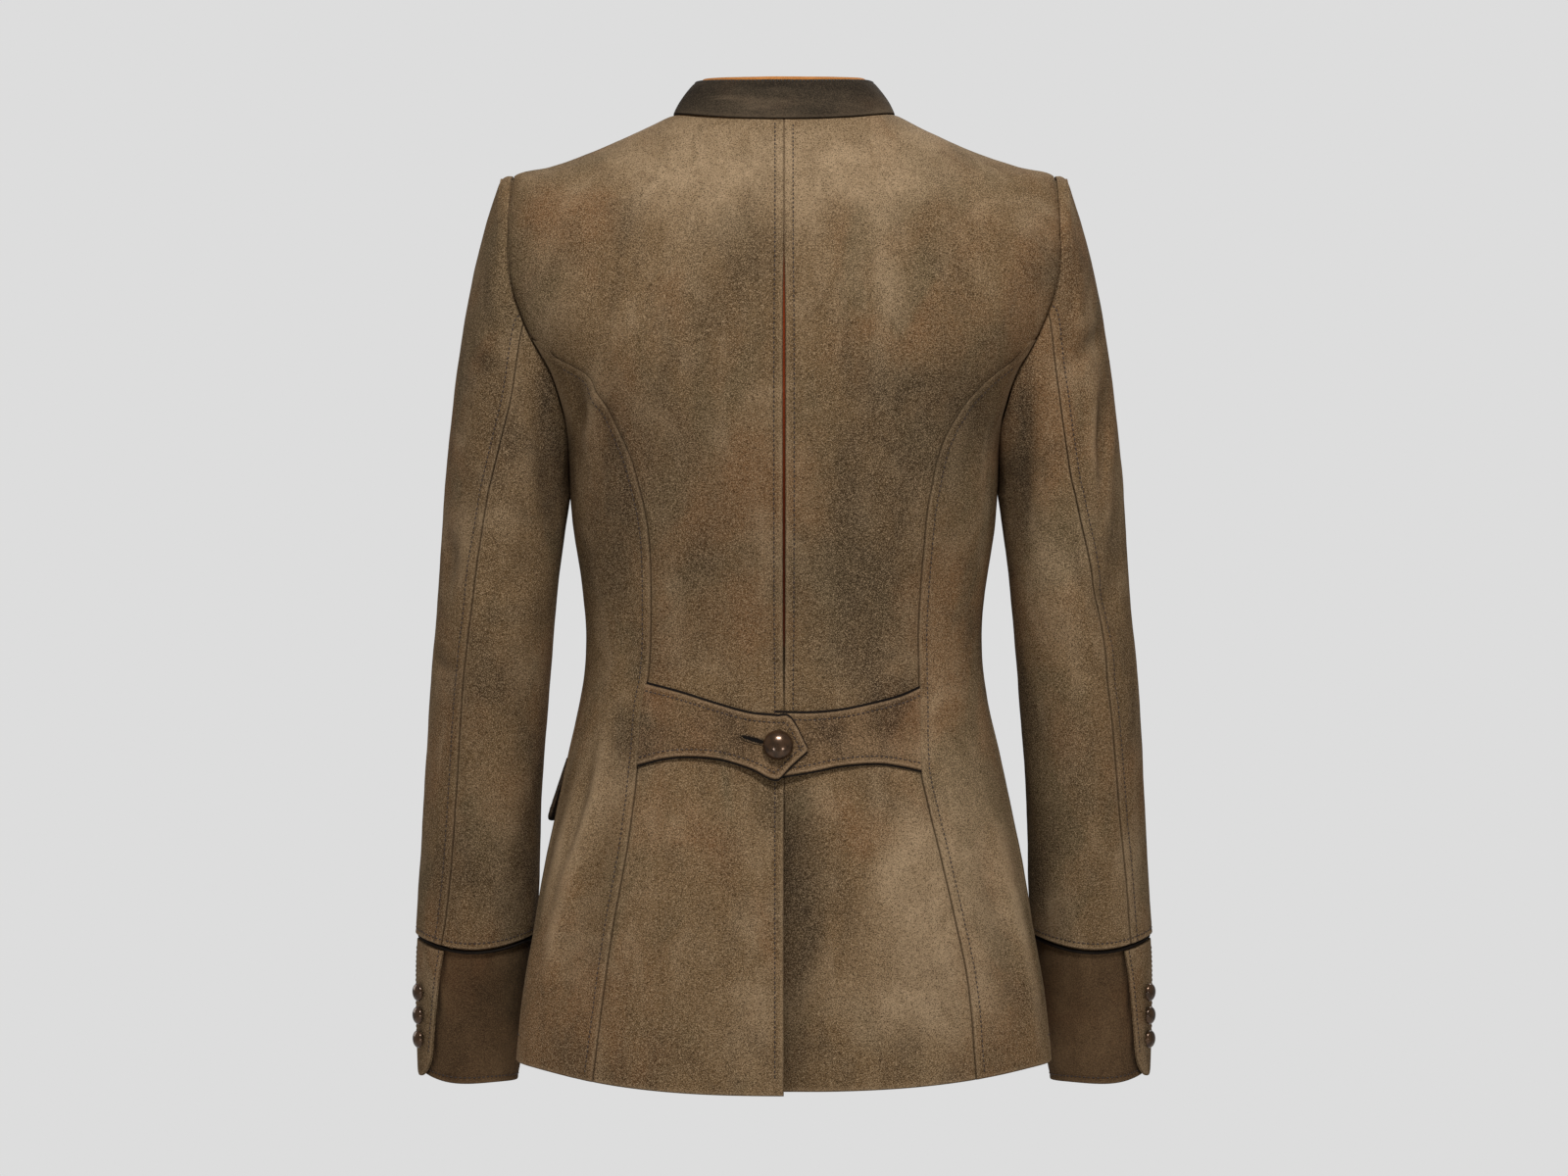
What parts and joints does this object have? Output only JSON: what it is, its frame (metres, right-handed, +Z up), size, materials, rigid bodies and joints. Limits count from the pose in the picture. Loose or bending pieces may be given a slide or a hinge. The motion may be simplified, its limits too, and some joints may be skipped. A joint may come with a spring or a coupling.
{
  "type": "leather jacket",
  "caption": "Woman's fitted suede jacket with a dark stand collar, a buttoned half belt and a vent at the back, and sleeves over buttoned cuffs.",
  "frame": {"origin": "midway between the shoulders, level with the sides of the neck seam", "axes": "+Z up, the front faces -Y, the wearer's left is +X"},
  "size_m": [0.5176, 0.2713, 0.6965],
  "materials": {
    "suede": "mottled brown suede nap",
    "dark_suede": "dark brown suede nap",
    "tan_leather": "smooth tan",
    "pleat_cloth": "rust brown cloth",
    "button": "polished dark brown"
  },
  "bodies": {
    "root": {"back_left": "suede", "back_right": "suede", "belt_button": "button", "belt_left": "suede", "belt_right": "suede", "collar": "dark_suede", "collar_facing": "tan_leather", "cuff_button_left_1": "button", "cuff_button_left_2": "button", "cuff_button_left_3": "button", "cuff_button_right_1": "button", "cuff_button_right_2": "button", "cuff_button_right_3": "button", "cuff_left": "suede", "cuff_piping_left": "dark_suede", "cuff_piping_right": "dark_suede", "cuff_right": "suede", "cuff_tongue_left": "suede", "cuff_tongue_right": "suede", "front_button_1": "button", "front_button_2": "button", "front_button_3": "button", "front_button_4": "button", "front_button_5": "button", "front_left": "suede", "front_right": "suede", "pleat_underlay": "pleat_cloth", "pocket_flap_left": "dark_suede", "pocket_flap_right": "dark_suede", "pocket_welt_left": "suede", "pocket_welt_right": "suede", "side_left": "suede", "side_right": "suede", "sleeve_under_left": "suede", "sleeve_under_right": "suede", "sleeve_upper_left": "suede", "sleeve_upper_right": "suede"}
  },
  "joints": []
}
